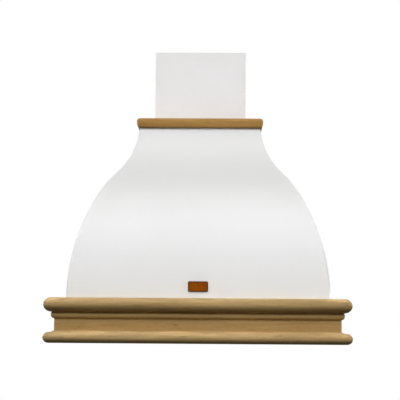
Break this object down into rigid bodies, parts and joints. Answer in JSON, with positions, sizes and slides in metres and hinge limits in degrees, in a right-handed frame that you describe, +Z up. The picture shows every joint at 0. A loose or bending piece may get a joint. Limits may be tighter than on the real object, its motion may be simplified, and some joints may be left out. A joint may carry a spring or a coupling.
{
  "type": "wall-mounted range hood",
  "caption": "Wall-mounted bell-shaped range hood, painted steel on a mitred wooden cornice with a wooden collar and short chimney; filters swing down, buttons press.",
  "frame": {"origin": "on the wall plane, at the lower edge of the cornice, in the middle of the width", "axes": "+X to the viewer's right along the cornice, +Y towards the wall, +Z up"},
  "size_m": [0.9, 0.5, 0.9365],
  "materials": {
    "painted_steel": "smooth white satin paint",
    "inner_steel": "plain zinc-coated sheet",
    "beech": "bare planed and sanded wood, fine grain",
    "filter_aluminium": "satin frame with stretched mesh",
    "panel_steel": "satin brushed",
    "lamp_chrome": "bright",
    "lamp_glass": "frosted",
    "black_plastic": "fine moulded texture",
    "grey_plastic": "fine moulded texture",
    "capacitor_plastic": "moulded",
    "motor_steel": "dark enamel",
    "screw_steel": "zinc plated",
    "plaque_metal": "dark patina, bare"
  },
  "bodies": {
    "root": {"back_plate": "inner_steel", "back_screws": "screw_steel", "cable_gland": "black_plastic", "capacitor": "capacitor_plastic", "chimney_bracket": "inner_steel", "chimney_cover": "painted_steel", "chimney_screws": "screw_steel", "collar_front": "beech", "collar_left": "beech", "collar_right": "beech", "control_housing": "black_plastic", "cornice_base_front": "beech", "cornice_base_left": "beech", "cornice_base_right": "beech", "cornice_corner_blocks": "beech", "cornice_crown_front": "beech", "cornice_crown_left": "beech", "cornice_crown_right": "beech", "cornice_fascia_front": "beech", "cornice_fascia_left": "beech", "cornice_fascia_right": "beech", "electrics_box": "grey_plastic", "fan_scroll": "inner_steel", "fan_side_left": "inner_steel", "fan_side_right": "inner_steel", "flap_pins": "screw_steel", "front_panel": "painted_steel", "lamp_housing_left": "lamp_chrome", "lamp_housing_right": "lamp_chrome", "lamp_lens_left": "lamp_glass", "lamp_lens_right": "lamp_glass", "motor": "motor_steel", "motor_spider": "inner_steel", "outlet_adaptor": "inner_steel", "outlet_spigot": "inner_steel", "plaque": "plaque_metal", "sheet_screws": "screw_steel", "side_panel_left": "painted_steel", "side_panel_right": "painted_steel", "top_plate": "inner_steel", "underside_panel": "panel_steel", "wood_screws": "screw_steel"},
    "filter_left_body": {"filter_frame_left": "filter_aluminium", "filter_mesh_left": "filter_aluminium"},
    "filter_right_body": {"filter_frame_right": "filter_aluminium", "filter_mesh_right": "filter_aluminium"},
    "latch_left_body": {"filter_latch_left": "black_plastic"},
    "latch_right_body": {"filter_latch_right": "black_plastic"},
    "fan_body": {"fan_blades": "inner_steel", "fan_hub": "inner_steel", "fan_rings": "inner_steel", "motor_shaft": "screw_steel"},
    "flap_front_body": {"flap_front": "inner_steel"},
    "flap_rear_body": {"flap_rear": "inner_steel"},
    "extension_body": {"chimney_extension": "painted_steel"},
    "button_off_body": {"button_off": "black_plastic"},
    "button_speed_1_body": {"button_speed_1": "black_plastic"},
    "button_speed_2_body": {"button_speed_2": "black_plastic"},
    "button_speed_3_body": {"button_speed_3": "black_plastic"},
    "button_light_body": {"button_light": "black_plastic"}
  },
  "joints": [
    {"name": "filter_left_swing", "type": "hinge", "parent": "root", "child": "filter_left_body", "pos_m": [-0.143, -0.042, 0.02594], "axis": [1, 0, 0], "range_deg": [0, 70]},
    {"name": "latch_left_slide", "type": "slide", "parent": "filter_left_body", "child": "latch_left_body", "axis": [0, 1, 0], "range_m": [0, 0.007], "stiffness_N_per_m": 300, "springref_m": -0.003},
    {"name": "filter_right_swing", "type": "hinge", "parent": "root", "child": "filter_right_body", "pos_m": [0.143, -0.042, 0.02594], "axis": [1, 0, 0], "range_deg": [0, 70]},
    {"name": "latch_right_slide", "type": "slide", "parent": "filter_right_body", "child": "latch_right_body", "axis": [0, 1, 0], "range_m": [0, 0.007], "stiffness_N_per_m": 300, "springref_m": -0.003},
    {"name": "button_off_press", "type": "slide", "parent": "root", "child": "button_off_body", "axis": [0, 0, 1], "range_m": [0, 0.0025], "stiffness_N_per_m": 600, "springref_m": -0.002},
    {"name": "button_speed_1_press", "type": "slide", "parent": "root", "child": "button_speed_1_body", "axis": [0, 0, 1], "range_m": [0, 0.0025], "stiffness_N_per_m": 600, "springref_m": -0.002},
    {"name": "button_speed_2_press", "type": "slide", "parent": "root", "child": "button_speed_2_body", "axis": [0, 0, 1], "range_m": [0, 0.0025], "stiffness_N_per_m": 600, "springref_m": -0.002},
    {"name": "button_speed_3_press", "type": "slide", "parent": "root", "child": "button_speed_3_body", "axis": [0, 0, 1], "range_m": [0, 0.0025], "stiffness_N_per_m": 600, "springref_m": -0.002},
    {"name": "button_light_press", "type": "slide", "parent": "root", "child": "button_light_body", "axis": [0, 0, 1], "range_m": [0, 0.0025], "stiffness_N_per_m": 600, "springref_m": -0.002},
    {"name": "fan_spin", "type": "hinge", "parent": "root", "child": "fan_body", "pos_m": [0, -0.18, 0.47], "axis": [1, 0, 0], "continuous": true},
    {"name": "flap_front_lift", "type": "hinge", "parent": "root", "child": "flap_front_body", "pos_m": [0, -0.12, 0.701], "axis": [-1, 0, 0], "range_deg": [0, 80]},
    {"name": "flap_rear_lift", "type": "hinge", "parent": "root", "child": "flap_rear_body", "pos_m": [0, -0.11, 0.701], "axis": [1, 0, 0], "range_deg": [0, 80]},
    {"name": "extension_slide", "type": "slide", "parent": "root", "child": "extension_body", "axis": [0, 0, 1], "range_m": [0, 0.18]}
  ]
}
